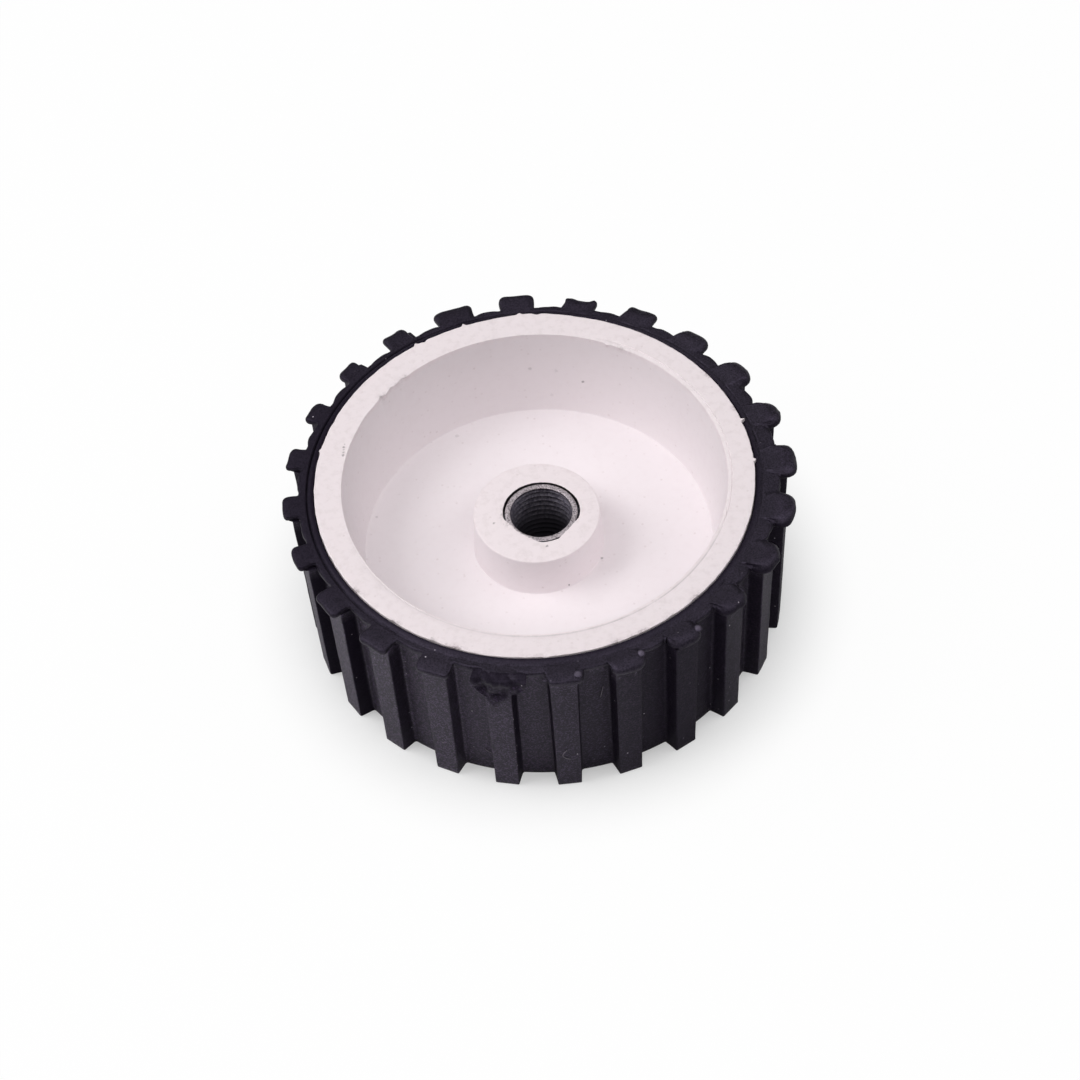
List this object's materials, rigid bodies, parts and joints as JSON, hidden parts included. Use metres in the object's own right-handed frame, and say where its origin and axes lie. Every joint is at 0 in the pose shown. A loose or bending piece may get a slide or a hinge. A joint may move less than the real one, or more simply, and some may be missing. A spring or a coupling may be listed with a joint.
{
  "type": "robot wheel",
  "caption": "Small robot wheel: a deep-dished white plastic rim, a black rubber tyre with straight lugs across its tread, and a threaded steel insert in the hub.",
  "frame": {"origin": "on the axle line, in the plane of the wheel's back face, which it lies on", "axes": "+Z along the axle, out of the dished face; +X through the middle of a lug"},
  "size_m": [0.073, 0.0706, 0.0264],
  "materials": {
    "white_plastic": "moulded white plastic with fine specks",
    "black_rubber": "moulded black rubber with flash and dust",
    "turned_steel": "turned steel with a dull end face"
  },
  "bodies": {
    "root": {"rim": "white_plastic", "tyre": "black_rubber", "threaded_insert": "turned_steel"}
  },
  "joints": []
}
